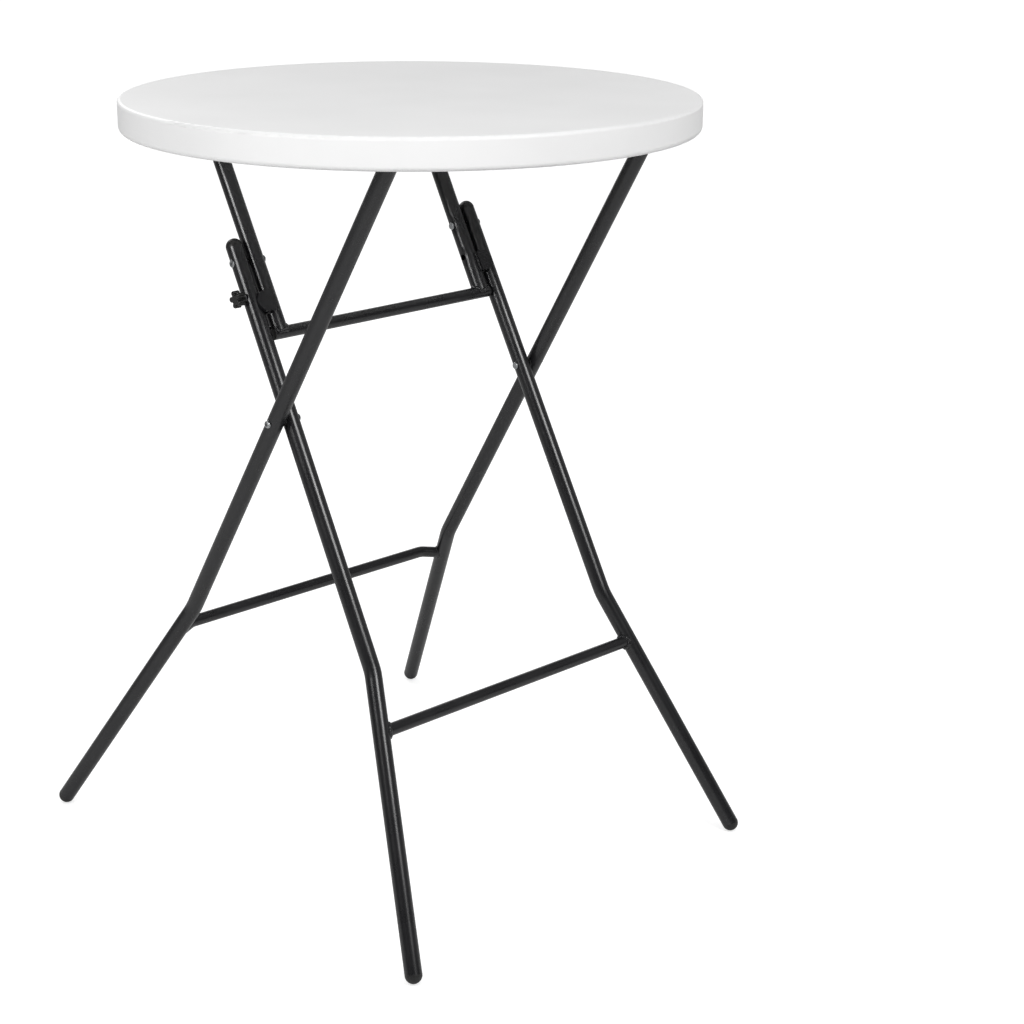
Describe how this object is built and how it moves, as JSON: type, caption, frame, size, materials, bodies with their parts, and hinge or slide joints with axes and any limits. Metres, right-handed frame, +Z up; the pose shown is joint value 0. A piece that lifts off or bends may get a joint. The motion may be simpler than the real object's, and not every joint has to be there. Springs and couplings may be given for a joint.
{
  "type": "folding cocktail table",
  "caption": "Bar-height folding table: a round moulded top on crossed frames of bent tube, with a brace frame that locks with a star knob.",
  "frame": {"origin": "on the floor under the middle of the whole table as it stands", "axes": "+Z up, +X from the outer legs' feet to the inner legs' feet, +Y across the frames, away from the locking knob"},
  "size_m": [0.8334, 0.8, 1.105],
  "materials": {
    "top_plastic": "white moulded polyethylene, fine satin grain",
    "frame_coat": "black semi-gloss powder coat on steel tube",
    "cap_plastic": "black moulded plastic",
    "saddle_nylon": "black nylon",
    "spacer_nylon": "black nylon",
    "knob_plastic": "black moulded plastic",
    "zinc_steel": "bright zinc plating"
  },
  "bodies": {
    "top": {"brace_saddle_far": "saddle_nylon", "brace_saddle_near": "saddle_nylon", "outer_saddle_far": "saddle_nylon", "outer_saddle_near": "saddle_nylon", "saddle_screws": "zinc_steel", "tabletop": "top_plastic"},
    "outer_frame": {"outer_crossbar": "frame_coat", "outer_foot_far": "cap_plastic", "outer_foot_near": "cap_plastic", "outer_hinge_plugs": "cap_plastic", "outer_hinge_tube": "frame_coat", "outer_leg_far": "frame_coat", "outer_leg_near": "frame_coat", "scissor_bolt_far": "zinc_steel", "scissor_bolt_near": "zinc_steel", "scissor_nut_far": "zinc_steel", "scissor_nut_near": "zinc_steel", "scissor_spacer_far": "spacer_nylon", "scissor_spacer_near": "spacer_nylon"},
    "inner_frame": {"inner_cap_far": "cap_plastic", "inner_cap_near": "cap_plastic", "inner_crossbar": "frame_coat", "inner_foot_far": "cap_plastic", "inner_foot_near": "cap_plastic", "inner_leg_far": "frame_coat", "inner_leg_near": "frame_coat", "lock_insert": "zinc_steel", "pivot_bolt_far": "zinc_steel", "pivot_bolt_near": "zinc_steel"},
    "brace_frame": {"brace_crossbar": "frame_coat", "brace_hinge_tube": "frame_coat", "brace_plugs": "cap_plastic", "brace_tube_far": "frame_coat", "brace_tube_near": "frame_coat", "pivot_nut_far": "zinc_steel", "pivot_nut_near": "zinc_steel", "stop_bracket_far": "frame_coat", "stop_bracket_near": "frame_coat"},
    "locking_screw": {"lock_screw": "zinc_steel"},
    "star_knob": {"lock_knob": "knob_plastic"}
  },
  "joints": [
    {"name": "outer_fold", "type": "hinge", "parent": "top", "child": "outer_frame", "pos_m": [0.25417, 0, 1.075], "axis": [0, 1, 0], "range_deg": [0, 51.6]},
    {"name": "scissor_fold", "type": "hinge", "parent": "outer_frame", "child": "inner_frame", "pos_m": [0.0105, 0, 0.682], "axis": [0, 1, 0], "range_deg": [0, 54.91]},
    {"name": "brace_fold", "type": "hinge", "parent": "top", "child": "brace_frame", "pos_m": [-0.20049, 0, 1.075], "axis": [0, -1, 0], "range_deg": [0, 60]},
    {"name": "lock_travel", "type": "slide", "parent": "inner_frame", "child": "locking_screw", "axis": [0, -1, 0], "range_m": [0, 0.02402]},
    {"name": "knob_turn", "type": "hinge", "parent": "locking_screw", "child": "star_knob", "pos_m": [-0.07355, -0.24, 0.83857], "axis": [0, -1, 0], "continuous": true}
  ],
  "couplings": [
    {"joint": "scissor_fold", "follows": "outer_fold", "ratio": 1.0637},
    {"joint": "brace_fold", "follows": "outer_fold", "ratio": 1.1625},
    {"joint": "lock_travel", "follows": "outer_fold", "m_per_rad": 0.026649}
  ]
}
